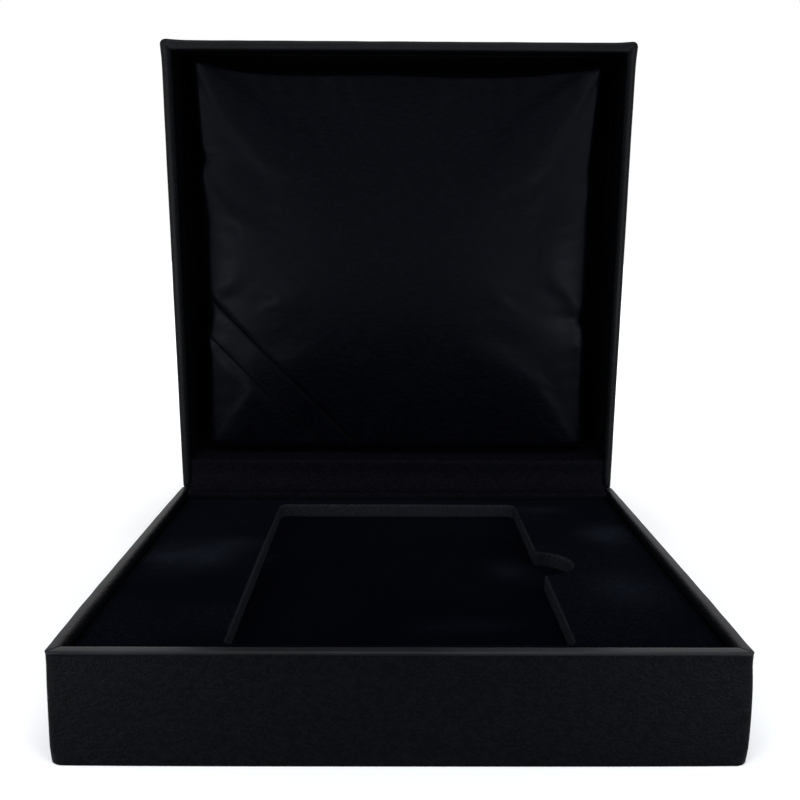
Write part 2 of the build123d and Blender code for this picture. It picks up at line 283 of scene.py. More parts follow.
def makeGroup(name, build, **inputs):
    # every group takes a Vector and the named values; build returns its outputs by name
    tree = bpy.data.node_groups.new(name, "ShaderNodeTree")
    tree.interface.new_socket("Vector", in_out="INPUT", socket_type="NodeSocketVector")
    for label, value in inputs.items():
        socket = tree.interface.new_socket(label, in_out="INPUT", socket_type="NodeSocketFloat")
        socket.default_value = value
    made = build(tree.nodes.new("NodeGroupInput").outputs)
    for label in made:
        tree.interface.new_socket(label, in_out="OUTPUT", socket_type="NodeSocketFloat")
    setInputs(tree.nodes.new("NodeGroupOutput"), made)
    groups[name] = tree


def placed(name, **inputs):
    return node("Group", inputs, node_tree=groups[name]).outputs


def leatherGrain(given):
    # short worming creases where a bent noise passes its middle value, at two sizes, over slow wrinkles
    sized = node("VectorMath", {0: given["Vector"], "Scale": given["Fineness"]}, operation="SCALE")
    long = scaled(sized.outputs[0], (0.62, 0.62, 1.0))
    creases = []
    for scale, bend, width in ((1000.0, 0.6, 0.13), (2300.0, 0.4, 0.17)):
        off = math2("ABSOLUTE", minus(noise(long, scale, 2.5, Distortion=bend), 0.5))
        creases.append(remap(off, 0.0, width, 1.0, 0.0))
    wrinkle = remap(noise(long, 170.0, 3.0, Distortion=1.6), 0.35, 0.65)
    cut = plus(times(creases[0], 0.5), times(creases[1], 0.35))
    height = plus(minus(1.0, cut), times(wrinkle, given["Wrinkle"]))
    tone = remap(noise(given["Vector"], 38.0, 2.0), 0.3, 0.7)
    return {"Height": height, "Crease": cut, "Tone": tone}


def pileNap(given):
    # short pile: fine fibre noise, tufts, and slow patches where the nap was brushed another way
    where = given["Vector"]
    fibre = noise(where, 4200.0, 3.0, Roughness=0.7)
    tuft = noise(where, 1700.0, 2.0, Distortion=0.8)
    patch = noise(where, given["Patch"], 3.0, Distortion=0.6)
    height = plus(times(fibre, 0.5), times(tuft, 0.5))
    return {"Height": height, "Nap": remap(patch, 0.38, 0.66),
            "Fibre": remap(times(fibre, tuft), 0.18, 0.36)}


def satinWeave(given):
    # long floats: fine threads along one way, broken at random by the next row, and faint slubs
    thread = noise(scaled(given["Vector"], (0.12, 1.0, 1.0)), given["Thread"], 1.0)
    slub = noise(scaled(given["Vector"], (0.3, 1.0, 1.0)), 2100.0, 2.0)
    height = plus(times(thread, 0.7), times(slub, 0.3))
    return {"Height": height, "Slub": remap(slub, 0.35, 0.7)}


def dustSpecks(given):
    # sparse specks: the cells whose own random value is low hold one small dot each
    cells = node("TexVoronoi", {"Vector": given["Vector"], "Scale": given["Spread"]}).outputs
    chance, size = node("SeparateColor", {"Color": cells["Color"]}).outputs[:2]
    dot = math2("LESS_THAN", cells["Distance"], plus(times(size, 0.035), 0.012))
    return {"Mask": times(math2("LESS_THAN", chance, given["Share"]), dot)}


def blackenedEdge(given):
    # painted shade: black near the hinge line and at the rail's ends, where a gap between the parts would
    # show bare board or wood instead of shade
    fromHinge = node("VectorMath", {0: given["Vector"], 1: tuple(pivot * mm)}, operation="SUBTRACT")
    flat = node("VectorMath", {0: fromHinge.outputs[0], 1: (0, 1, 1)}, operation="MULTIPLY")
    away = node("VectorMath", {0: flat.outputs[0]}, operation="LENGTH").outputs["Value"]
    aside = math2("ABSOLUTE", node("SeparateXYZ", {0: given["Vector"]}).outputs[0])
    inked = math2("MAXIMUM", minus(given["Reach"], away), minus(aside, given["Ends"]))
    return {"Mask": remap(inked, 0.0, 0.0006)}


makeGroup("leatherGrain", leatherGrain, Fineness=1.0, Wrinkle=0.5)
makeGroup("pileNap", pileNap, Patch=45.0)
makeGroup("satinWeave", satinWeave, Thread=5200.0)
makeGroup("dustSpecks", dustSpecks, Spread=240.0, Share=0.06)
makeGroup("blackenedEdge", blackenedEdge, Reach=0.0045, Ends=1.0)


def emptied(owner):
    owner.use_nodes = True
    owner.node_tree.nodes.clear()
    return owner.node_tree


def startMaterial(name, fixed):
    # a Principled shader with its constants set, and the object's own coordinates
    material = bpy.data.materials.new(name)
    tree = emptied(material)
    shader = node("BsdfPrincipled", fixed, tree)
    node("OutputMaterial", {0: shader.outputs[0]})
    return material, shader, node("TexCoord", {}, tree).outputs["Object"]


leatherLook = {"crease": (0.0002, 0.0003, 0.0006), "raised": (0.0015, 0.0018, 0.0026),
               "worn": (0.024, 0.024, 0.027), "fineness": 1.0, "wrinkle": 0.5, "depth": 0.065,
               "rough": (0.45, 0.51), "edgeRough": 0.36, "coat": 0.15, "gloss": 0.024}
# painted light: the inner strip's leatherette is the trays' own, coloured lighter to make up for the light
# that its lower gloss no longer gives
stripLeatherLook = dict(leatherLook, crease=(0.0012, 0.0012, 0.0020), raised=(0.0031, 0.0031, 0.0047),
                        fineness=1.4, depth=0.045, rough=(0.72, 0.82), gloss=0.008)


def leatherMaterial(name, look):
    # the wear mark is 1 where the cover is stretched over the rim: smoother and glossier there, and greyer
    # in a colour that is partly wear and partly painted highlight
    fixed = {"Specular IOR Level": look["gloss"], "Coat Roughness": 0.34}
    material, shader, where = startMaterial(name, fixed)
    grain = placed("leatherGrain", Vector=where, Fineness=look["fineness"], Wrinkle=look["wrinkle"])
    wear = marked(where, "wear")
    greyed = times(wear, remap(grain["Tone"], 0.0, 1.0, 0.35, 0.75))
    colour = mixed(grain["Crease"], look["raised"], look["crease"])
    rough = remap(grain["Tone"], 0.0, 1.0, *look["rough"])
    smoother = times(wear, look["edgeRough"] - look["rough"][0])
    flattened = minus(1.0, times(wear, 0.9))
    height = times(minus(grain["Height"], 0.9), flattened)
    setInputs(shader, {
        "Base Color": mixed(greyed, colour, look["worn"]), "Roughness": plus(rough, smoother),
        "Coat Weight": times(wear, look["coat"]), "Normal": bump(height, look["depth"])})
    return material


velvetLook = {"base": (0.0009, 0.0011, 0.0021), "lit": (0.0025, 0.0031, 0.0051),
              "brushed": (0.0105, 0.0125, 0.018), "splayed": (0.0135, 0.0142, 0.0175),
              "dust": (0.12, 0.12, 0.13), "depth": 0.03, "patch": 34.0}
# painted shade: the recess velvet is the same cloth in darker colours, for the shade in the recess
recessLook = dict(velvetLook, base=(0.0005, 0.0006, 0.0014), lit=(0.0012, 0.0015, 0.0031), patch=26.0)


def velvetMaterial(name, look):
    # where the nap was stroked the other way it is coloured lighter, partly painted sheen; over the recess
    # edge and down its walls a lighter colour is painted as sheen
    material, shader, where = startMaterial(name, {
        "Specular IOR Level": 0.0, "Roughness": 1.0, "Sheen Weight": 0.012, "Sheen Roughness": 0.35,
        "Sheen Tint": (0.5, 0.58, 0.8, 1)})
    pile = placed("pileNap", Vector=where, Patch=look["patch"])
    dust = placed("dustSpecks", Vector=where, Spread=300.0, Share=0.035)["Mask"]
    even = remap(pile["Fibre"], 0.0, 1.0, 0.6, 1.0)
    # partly real nap, partly painted sheen: where the nap was stroked the other way the velvet is coloured
    # lighter
    stroked = times(marked(where, "brushed"), remap(pile["Nap"], 0.0, 1.0, 0.65, 1.15))
    uneven = remap(stroked, 0.03, 1.0)
    colour = mixed(times(pile["Nap"], pile["Fibre"]), look["base"], look["lit"])
    colour = mixed(times(uneven, even), colour, look["brushed"])
    # painted sheen: the recess edge and walls are coloured lighter, as where they catch the light
    colour = mixed(times(marked(where, "splayed"), even), colour, look["splayed"])
    colour = mixed(times(dust, 0.5), colour, look["dust"])
    setInputs(shader, {"Base Color": colour, "Normal": bump(pile["Height"], look["depth"])})
    return material


# edge is the darker colour painted as shade along the ribbon's edges
satinLook = {"base": (0.0004, 0.0005, 0.0012), "slub": (0.0008, 0.0010, 0.0019),
             "edge": (0.0002, 0.0002, 0.0004), "dust": (0.10, 0.10, 0.11), "depth": 0.0022,
             "rough": (0.32, 0.36)}
ribbonSatinLook = dict(satinLook, depth=0.0026, rough=(0.32, 0.37))


def satinMaterial(name, look):
    # the selvedge is the duller woven line along each side of the ribbon; its darker colour is painted
    # shade, for the shadow lines along the ribbon's edges
    material, shader, where = startMaterial(name, {
        "Specular IOR Level": 0.027, "Specular Tint": (0.84, 0.88, 1.0, 1), "Sheen Weight": 0.003,
        "Sheen Roughness": 0.3, "Sheen Tint": (0.6, 0.65, 0.8, 1), "Anisotropic": 0.3})
    weave = placed("satinWeave", Vector=where, Thread=5200.0)
    dust = placed("dustSpecks", Vector=where, Spread=210.0, Share=0.04)["Mask"]
    selvedge = marked(where, "selvedge")
    colour = mixed(weave["Slub"], look["base"], look["slub"])
    # painted shade: the ribbon's edges are coloured darker
    colour = mixed(selvedge, colour, look["edge"])
    woven = remap(weave["Slub"], 0.0, 1.0, *look["rough"])
    setInputs(shader, {
        "Base Color": mixed(times(dust, 0.5), colour, look["dust"]),
        "Roughness": plus(woven, times(selvedge, 0.6), True),
        "Normal": bump(weave["Height"], look["depth"])})
    return material


boardLook = {"gloss": 0.3, "along": 1.0, "detail": 5.0, "uneven": 0.7, "bend": 0.0, "spread": (0.3, 0.7),
             "ends": 1.0, "ink": (0.004, 0.004, 0.005)}


def boardMaterial(name, low, high, scale, rough, **own):
    # pressed board, paper, foam or bare wood: two tones in fine noise, painted black as shade where a gap
    # would show it
    look = {**boardLook, **own}
    material, shader, where = startMaterial(name, {"Specular IOR Level": look["gloss"]})
    fleck = noise(scaled(where, (look["along"], 1.0, 1.0)), scale, look["detail"],
                  Roughness=look["uneven"], Distortion=look["bend"])
    # painted shade in the gaps near the hinge line and at the rail's ends
    inked = placed("blackenedEdge", Vector=where, Ends=look["ends"])["Mask"]
    colour = mixed(remap(fleck, 0.35, 0.65), low, high)
    setInputs(shader, {
        "Base Color": mixed(inked, colour, look["ink"]),
        "Roughness": remap(fleck, *look["spread"], *rough), "Normal": bump(fleck, 0.03)})
    return material


def steelMaterial(name):
    material, shader, where = startMaterial(name, {"Metallic": 1.0})
    marks = noise(scaled(where, (0.04, 1.0, 1.0)), 4000.0, 3.0)
    setInputs(shader, {
        "Base Color": mixed(marks, (0.56, 0.56, 0.56), (0.68, 0.67, 0.65)),
        "Roughness": remap(marks, 0.2, 0.8, 0.22, 0.4), "Normal": bump(marks, 0.004)})
    return material


slotMaterials = {
    "leatherette": leatherMaterial("leatherette", leatherLook),
    "velvet": velvetMaterial("black velvet", velvetLook),
    "satin": satinMaterial("black satin", satinLook),
    "ribbon_satin": satinMaterial("black ribbon satin", ribbonSatinLook),
    "black_paper": boardMaterial("black lining paper", (0.0003, 0.0004, 0.0007), (0.0009, 0.0010, 0.0014),
                                 2600.0, (0.85, 0.95), gloss=0.01),
    "greyboard": boardMaterial("grey board", (0.38, 0.36, 0.33), (0.52, 0.50, 0.46), 1800.0, (0.8, 0.95)),
    "foam": boardMaterial("foam", (0.62, 0.61, 0.57), (0.78, 0.77, 0.72), 1400.0, (0.85, 1.0)),
    "rail_wood": boardMaterial("softwood", (0.52, 0.37, 0.22), (0.68, 0.53, 0.36), 900.0, (0.5, 0.7),
                               gloss=0.35, along=0.05, detail=4.0, uneven=0.5, bend=0.5, spread=(0.2, 0.8),
                               ends=0.0485),
    "hinge_steel": steelMaterial("nickelled steel"),
}
# painted light: a lighter copy of the leatherette for the inner strip
stripLeatherette = leatherMaterial("leatherette of the inner strip", stripLeatherLook)
# painted shade: a darker copy of the velvet for the recess
recessPile = velvetMaterial("black velvet of the recess", recessLook)
print("materials:", len(bpy.data.materials))


def dress(piece, slotName, nodes, body=None, material=None):
    # material differs from the slot's own where a copy of the cloth is painted lighter or darker: the inner
    # strip lighter for light, the recess darker for shade
    piece.data.materials.clear()
    piece.data.materials.append(material or slotMaterials[slotName])
    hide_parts(*nodes)
    if body:
        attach(piece, body)


for part in frame["record"]["subparts"]:
    cadPiece = frame["nodes"][part["node"]]
    cadPiece.data.materials.clear()
    cadPiece.data.materials.append(slotMaterials[part["material_slot"]])


# Leatherette of the two trays: one profile, from under the floor over the rim to the inside,
# carried round the box. Heights are from the tray's own floor, its mouth up.
wrapLook = {
    "skin": 0.35, "wall": 2.3, "corner": 1.0, "innerCorner": 0.25, "foot": 0.2, "footDrop": 0.29,
    "footIn": (1.6, 3.1), "floorLip": 0.29, "rimOuter": 0.3, "rimInner": 1.05, "footTurn": 1.0,
    "floorTurn": 0.08, "wave": 0.06, "fineWave": 0.03, "rimWave": 0.03, "panelWave": 0.22,
    "panelRise": 0.10, "lip": 0.09, "rimWear": 1.0, "worn": (-1.7, -1.0), "bows": (0.50, 0.33, 0.47),
    "belly": 0.28, "roll": 0.55, "ear": 0.15, "cornerReach": 3.2, "mitre": 0.16, "mitreWidth": 0.16,
    "seat": 0.32, "tuck": 0.55, "spineHalf": 51.05, "bevelGap": 0.45, "cornerGap": 0.03,
    "cornerFrom": (51.2, 51.9), "pivotRise": 0.15, "ridge": 1.4, "spacing": 0.85, "turnSteps": 7,
    "sideCount": 112, "cornerCount": 10}
lidLook = dict(wrapLook, rimOuter=0.95, rimInner=0.75, rimWear=0.3, bows=(-0.05, 0.16, 0.0), belly=0,
               roll=0, lip=0.04, ear=0.34, sideCount=76)
wallFoot = 0.3  # where the outer wall's crowded rows start
onFace = -1e-6  # an offset from the outer face beyond this is still on it


def wrapPoints(look, halfX, halfY, height, firstOffset, lastHeight, seed):
    drop, (footStart, footEnd), wall = look["footDrop"], look["footIn"], look["wall"]
    corners = [(firstOffset, 0), (-footEnd, 0), (-footStart, -drop), (0, -drop), (0, height),
               (-wall, height), (-wall, lastHeight), (-wall - look["floorLip"], lastHeight)]
    radii = (look["footTurn"], look["footTurn"], look["foot"], look["rimOuter"], look["rimInner"],
             look["floorTurn"])
    line = filletLine(corners, radii, look["spacing"], look["turnSteps"])
    # rows of the outer wall crowd towards its rim
    wallTop = height - look["rimOuter"]
    below = np.clip((wallTop - line[:, 1]) / (wallTop - wallFoot), 0, 1)
    outside = (line[:, 0] > onFace) & (line[:, 1] > wallFoot)
    line[:, 1] = np.where(outside, wallTop - (wallTop - wallFoot) * below ** 1.7, line[:, 1])
    normal = sideways(line)
    keys = ringKeys(look["sideCount"], look["cornerCount"])
    offset, rise = line[:, :1], line[:, 1:]
    largest = np.minimum(halfX, halfY) + offset
    radius = np.maximum(look["corner"] + 0.9 * bell(rise + drop, 1.6) + offset, look["innerCorner"])
    radius = np.minimum(radius, largest)
    x, y = ringPoints(keys, halfX + offset, halfY + offset, radius)
    z = rise + x * 0
    here = stacked(x, y, z)

    # how far the cover stands off its board: slow waves, a lip under the rim, gathered corners
    onWall = step(offset, -0.6, -0.05) * step(z, wallFoot, 2.5) * step(height - z, 0.5, 2.2)
    atRim = step(z, height - 2.6, height - 0.2) * step(offset, -wall - 0.1, -wall + 0.3)
    diagonal = np.abs(np.abs(x) - halfX - np.abs(y) + halfY)
    nearCorner = bell(np.hypot(halfX - np.abs(x), halfY - np.abs(y)), look["cornerReach"])
    proud = onWall * (look["wave"] * ripple(here, 46, seed) + look["fineWave"] * ripple(here, 11, seed + 1))
    proud -= look["lip"] * (offset > onFace) * step(height - z, 0.3, 0.6) * (1 - step(height - z, 0.6, 6))
    proud += look["rimWave"] * ripple(here, 9, seed + 2) * atRim
    ear = look["ear"] * nearCorner * atRim * (y < 0)
    facesUp = normal[:, 1:] > 0.5
    proud -= look["mitre"] * bell(diagonal, look["mitreWidth"]) * nearCorner * facesUp * atRim
    onPanel = step(-offset, 1.0, 9.0) * (rise < 0.01)
    proud += onPanel * (look["panelWave"] * ripple(here, 60, seed + 3) + look["panelRise"])
    seated = step(y, halfY - 0.9, halfY - 0.4) * (np.abs(x) < look["spineHalf"]) * step(z, 0.5, 0.9)
    proud = np.where(seated > 0.5, -look["seat"], proud)
    cosine, sine = np.cos(keys[2]), np.sin(keys[2])
    # how far the left, right and front walls stand out
    lowX, highX, lowY = look["bows"]
    toLeft, toRight, toFront = (np.maximum(way, 0) for way in (-cosine, cosine, -sine))
    bowX = (toRight * highX - toLeft * lowX) * (1 - 0.3 * y / halfY)
    bowX *= 1 - 0.55 * np.abs(y / halfY) ** 4
    bowX += toRight * look["belly"] * np.sin(np.clip(z / height, 0, 1) * math.pi)
    bowY = -toFront * lowY * (1 - 0.6 * np.abs(x / halfX) ** 4) * (1 - 0.8 * step(z, 0, height))
    inFront = toFront ** 2
    bowY += look["roll"] * inFront * step(-offset, 0.4, 1.6) * step(z, height - 1.6, height - 0.7)
    bowed = step(offset, -wall, -0.3) * np.where(seated > 0.5, 0, 1)
    bowed = np.maximum(bowed, inFront * step(z, height - 1.6, height - 0.7))

    def lifted(distance, rise):
        px = x + cosine * normal[:, :1] * distance + bowX * bowed
        py = y + sine * normal[:, :1] * distance + bowY * bowed
        pz = z + normal[:, 1:] * rise
        # the back edge is bevelled, so that the trays lean on each other when open
        atEnd = step(np.abs(px), *look["cornerFrom"])
        apart = look["bevelGap"] + (look["cornerGap"] - look["bevelGap"]) * atEnd
        behind = (py - halfY + look["ridge"]) * math.sin(halfTurn)
        top = height + np.minimum(look["pivotRise"] - (apart + behind) / math.cos(halfTurn), 0)
        # and dips under the spine's edge
        top = top - look["tuck"] * step(py, halfY - 2.7, halfY - 2.2) * (np.abs(px) < look["spineHalf"])
        above = np.maximum(pz - look["foot"], 0)
        pz = np.minimum(pz, look["foot"]) + above * (top - look["foot"]) / (height - look["foot"])
        return stacked(px, py, pz)

    # wear on the rim, whose greyer colour is partly painted highlight: on the rim's outer part, and less on
    # the front's outer edge
    wear = look["rimWear"] * step(z, height - 0.6, height - 0.25)
    wear = wear * step(offset + 0.5 * inFront, *look["worn"])
    wear = wear * (1 - 0.55 * inFront * step(offset, -0.22, 0))
    within = proud * 0 - look["skin"]
    return lifted(proud + ear, proud + 0.25 * ear), lifted(within, within), wear


def makeWrap(name, cadNode, look, toWorld, firstOffset, lastHeight, height, body, seed):
    outer, inner, wear = wrapPoints(look, halfWidth, halfDepth, height, firstOffset, lastHeight, seed)
    isLid = firstOffset <= -halfWidth  # its panel is drawn in to the middle of its outside
    piece = makeShell(name, toWorld(outer), toWorld(inner), True, isLid, isLid, wear=(wear, wear))
    dress(piece, "leatherette", [cadNode], body)


sheetTop = nodeBox("underside_sheet")[1][2]
baseHigh = nodeBox("base_wrap")[1]
lidLow, lidHigh = nodeBox("lid_wrap", True)
turnIn, turnUnder = 9.0, 12.0
halfWidth, halfDepth = baseHigh[0], baseHigh[1]
baseHeight = baseHigh[2] - sheetTop
lidHeight = lidHigh[2] - lidLow[2]
lidFloor = nodeBox("lid_lining_paper", True)[0][2]


def baseTray(points):
    return points + np.array([0, 0, sheetTop])


def lidTray(points):
    up = pivot[1] - points[..., 1]
    return fromLid(-points[..., 0], up, lidLow[2] + points[..., 2])


makeWrap("base_leatherette", "base_wrap", wrapLook, baseTray, -turnUnder, baseHeight - turnIn, baseHeight,
         "base", 11)
makeWrap("lid_leatherette", "lid_wrap", lidLook, lidTray, -halfWidth, lidFloor - lidLow[2] + 0.06,
         lidHeight, "lid", 23)
print("trays: base", round(baseHeight, 2), "lid", round(lidHeight, 2))


# Leatherette strips across the hinge, inside and at the back
stripLook = {"skin": 0.35, "lineBelow": 0.375, "turns": (0.6, 4.2, 0.6, 0.3), "tail": 0.45, "tailRun": 1.6,
             "spacing": 0.45, "turnSteps": 14, "columns": 160, "beyond": 0.27, "bend": 2.6}
spineLook = {"skin": 0.35, "depth": 1.475, "layer": 0.225, "turns": (0.2, 0.2, 0.2, 0.2), "start": 0.7,
             "end": (-1.4, -15.45), "spacing": 0.8, "turnSteps": 8, "columns": 120, "beyond": 0.0,
             "bend": 0.15}


def ribbonAlong(line, skin, halfLength, columns, proud):
    # a band of even thickness along a line of y and z, from -x to +x; proud lifts its outer face
    x = np.linspace(-halfLength, halfLength, columns)
    normal = sideways(line)
    here = stacked(x, line[:, :1], line[:, 1:])
    out = stacked(x * 0, normal[:, :1], normal[:, 1:])
    lift = proud(here, np.arange(len(line))[:, None] / (len(line) - 1) + x * 0)
    return here + out * (skin / 2 + lift)[..., None], here - out * (skin / 2 - lift)[..., None]


def makeStrip(name, cadNode, look, corners, proud):
    # bend, how far to each side of the hinge the strip turns from one body to the other, is not used
    line = filletLine(corners, look["turns"], look["spacing"], look["turnSteps"])
    halfLength = nodeBox(cadNode)[1][0] + look["beyond"]
    piece = makeShell(name, *ribbonAlong(line, look["skin"], halfLength, look["columns"], proud))
    dress(piece, "leatherette", [cadNode], material=stripLeatherette)
    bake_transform(piece)
    print(name, "has", len(line), "rows")


def alongGroove(run, off):
    return (pivot + grooveRun * run + groovePlane * off)[1:]


def inLid(up, out):
    return fromLid(0.0, up, out)[1:]


def stripProud(here, share):
    # slack in the fold: lifted a little where the two hinges lie, with slow waves along it
    inFold = bell(share - 0.36, 0.17)
    overHinges = bell(np.abs(here[..., 0]) - 30, 9)
    return -inFold * (0.10 * overHinges + 0.10 * ripple(here, 22, 5) + 0.05 * ripple(here, 7, 6))


stripLow = nodeBox("inner_hinge_strip")[0]
stripY = stripLow[1] + stripLook["skin"] / 2
stripUp = nodeBox("inner_hinge_strip", True)[1][1] - stripLook["skin"] / 2
lineBelow, tailOut = stripLook["lineBelow"], lidFloor + stripLook["tail"]
makeStrip("inner_strip_leatherette", "inner_hinge_strip", stripLook, [
    (stripY, stripLow[2]), (stripY, pivot[2] - lineBelow), alongGroove(lineBelow / math.sin(halfTurn), 0),
    inLid(stripUp, -lineBelow), inLid(stripUp, tailOut), inLid(stripUp + stripLook["tailRun"], tailOut)],
    stripProud)


def spineProud(here, share):
    flat = step(np.abs(share - 0.5), 0.12, 0.2) * step(0.5 - np.abs(share - 0.5), 0.0, 0.05)
    return flat * (0.05 * ripple(here, 30, 8) + 0.02 * ripple(here, 9, 9))


backY, layer = halfDepth - spineLook["skin"] / 2, spineLook["layer"]
edgeDepth = (backY - pivot[1] + layer * math.sin(halfTurn)) / math.cos(halfTurn)
lastUp, lastOut = spineLook["end"]
makeStrip("spine_leatherette", "back_spine", spineLook, [
    (backY, sheetTop + spineLook["start"]), alongGroove(edgeDepth, -layer),
    alongGroove(spineLook["depth"], -layer), alongGroove(spineLook["depth"], layer),
    alongGroove(edgeDepth, layer), inLid(spineLook["skin"] / 2 + lastUp, lastOut)], spineProud)


# Velvet insert: its top runs from the walls to the recess, whose edge has a half-round thumb notch
insertLow, insertHigh = nodeBox("insert_velvet")
# where the nap was stroked the other way, coloured lighter as painted sheen: x, y, reach in x and y, and
# how strongly
brushedPlaces = ((-41.0, -1.0, 10.0, 11.0, 0.8), (-33.5, 9.0, 7.0, 6.0, 0.45), (45.0, 17.0, 7.0, 10.0, 0.5),
                 (42.0, -20.0, 8.0, 12.0, 0.35), (35.0, 37.0, 7.0, 4.0, 0.5), (22.4, 0.0, 6.0, 9.0, 0.6),
                 (12.0, -30.0, 9.0, 5.0, 0.35))


def brushedAt(points):
    # sum of bells round the places where the nap was stroked, which are coloured lighter as painted sheen
    marks = [much * bell((points[..., 0] - x) / across, 1) * bell((points[..., 1] - y) / deep, 1)
             for x, y, across, deep, much in brushedPlaces]
    return np.clip(sum(marks), 0, 1)


insertLook = {"halfRecess": (28.0, 44.0), "centre": -2.9, "corner": 2.0, "notchCentre": (26.8, -4.5),
              "notch": 7.6, "pile": 0.45, "edge": 0.6, "outerEdge": 0.55, "wave": 0.05, "topRows": 46,
              "spacing": 0.62}


def recessLine(look):
    # the recess outline by angle from the middle: the further of a rounded rectangle and the notch
    angle = np.arange(0, 2 * math.pi, 2 * math.pi / 2400)
    c, s = np.cos(angle), np.sin(angle)
    hx, hy, r = *look["halfRecess"], look["corner"]

    def circle(x, y, radius):
        # how far out each ray leaves a circle, and whether it meets it
        along = x * c + y * s
        inside = radius * radius - (x * x + y * y - along * along)
        return along + np.sqrt(np.maximum(inside, 0)), inside > 0

    reach = np.minimum(hx / np.maximum(np.abs(c), 1e-9), hy / np.maximum(np.abs(s), 1e-9))
    rounded, met = circle((hx - r) * np.sign(c), (hy - r) * np.sign(s), r)
    atCorner = (np.abs(reach * c) > hx - r) & (np.abs(reach * s) > hy - r) & met
    reach = np.where(atCorner, rounded, reach)
    notch, met = circle(look["notchCentre"][0], look["notchCentre"][1] - look["centre"], look["notch"])
    reach = np.maximum(reach, np.where(met, notch, 0))
    for _ in range(3):  # softens the notch's two points
        reach = (np.roll(reach, 1) + 2 * reach + np.roll(reach, -1)) / 4
    line = np.stack([reach * c, reach * s], 1)
    lengths = np.linalg.norm(np.diff(line, axis=0, append=line[:1]), axis=1)
    walked = np.concatenate([[0], np.cumsum(lengths)])
    places = np.arange(0, walked[-1], look["spacing"])
    return np.interp(places, walked, np.append(angle, 2 * math.pi)), angle, reach


def insertPoints(look):
    placesAt, angle, reach = recessLine(look)
    low, high = insertLow, insertHigh
    corners = [(x, y) for x in (low[0], high[0]) for y in (low[1], high[1])]
    cornerAngles = [math.atan2(y - look["centre"], x) % (2 * math.pi) for x, y in corners]
    placesAt = np.sort(np.concatenate([placesAt, cornerAngles]))
    c, s = np.cos(placesAt), np.sin(placesAt)
    inner = np.interp(placesAt, angle, reach, period=2 * math.pi)
    toSide = np.where(c > 0, high[0], -low[0]) / np.maximum(np.abs(c), 1e-9)
    toEnd = np.where(s > 0, high[1] - look["centre"], look["centre"] - low[1]) / np.maximum(np.abs(s), 1e-9)
    outer = np.minimum(toSide, toEnd)
    depth, outerEdge, edge = high[2] - low[2], look["outerEdge"], look["edge"]
    # each row: how far in from the wall, its rise, and its part of the way, 0 to 1 over the top and to 2
    # round the recess edge
    rows = [(0, -depth, 0), (0, -depth * 0.5, 0)]
    rows += [((1 - math.cos(t)) * outerEdge, (math.sin(t) - 1) * outerEdge, 0)
             for t in np.linspace(0, math.pi / 2, 6)[:-1]]
    rows += [(0, 0, part) for part in np.linspace(0, 1, look["topRows"])]
    rows += [(0, (math.cos(t) - 1) * edge, 1 + math.sin(t)) for t in np.linspace(0, math.pi / 2, 8)[1:]]
    rows += [(0, -fall, 2) for fall in np.linspace(edge, depth, 7)[1:]]
    inward, rise, part = np.array(rows).T[:, :, None]
    start, end = outer - outerEdge, inner + edge
    radius = start + (end - start) * np.clip(part, 0, 1) - edge * np.clip(part - 1, 0, 1)
    radius = np.where(part > 0, radius, outer - inward)
    x, y = radius * c, radius * s + look["centre"]
    z = high[2] + rise + x * 0
    here = stacked(x, y, z)
    flat = step(-rise, depth, 0)
    z = z - flat * look["wave"] * (1 + ripple(here, 26, 31)) - flat * 0.012 * (1 + ripple(here, 6, 32))
    normal = sideways(np.stack([-radius.mean(1), rise[:, 0]], 1)) * look["pile"]
    under = stacked(x - normal[:, :1] * c, y - normal[:, :1] * s, np.maximum(z + normal[:, 1:], low[2]))
    # painted sheen: a lighter colour over the recess edge and down its walls, less at the left of the
    # notch's back wall
    splayed = step(part, 1.05, 1.6) * (1 - 0.65 * bell(x - 29, 2.6) * bell(y - 1.5, 3.2))
    return stacked(x, y, z), under, splayed


outer, inner, splayed = insertPoints(insertLook)
insert = makeShell("insert_velvet_cover", outer, inner, True, splayed=(splayed, 0 * splayed),
                   brushed=(brushedAt(outer), brushedAt(inner)))
dress(insert, "velvet", ["insert_velvet"], "base")

sheetLook = {"columns": 140, "rows": 130, "wave": 0.05, "wavelength": 14}
floorLow, floorHigh = nodeBox("recess_velvet")
across = np.linspace(floorLow[0], floorHigh[0], sheetLook["columns"])
deep = np.linspace(floorLow[1], floorHigh[1], sheetLook["rows"])[:, None]
top, bottom = (stacked(across, deep, level) for level in (floorHigh[2], floorLow[2]))
top[..., 2] -= sheetLook["wave"] * (1 + ripple(top, sheetLook["wavelength"], 41))
recess = makeShell("recess_velvet_sheet", top, bottom, brushed=(brushedAt(top), brushedAt(bottom)))
dress(recess, "velvet", ["recess_velvet"], "base", recessPile)
print("velvet:", outer.shape[:2], "and", top.shape[:2])


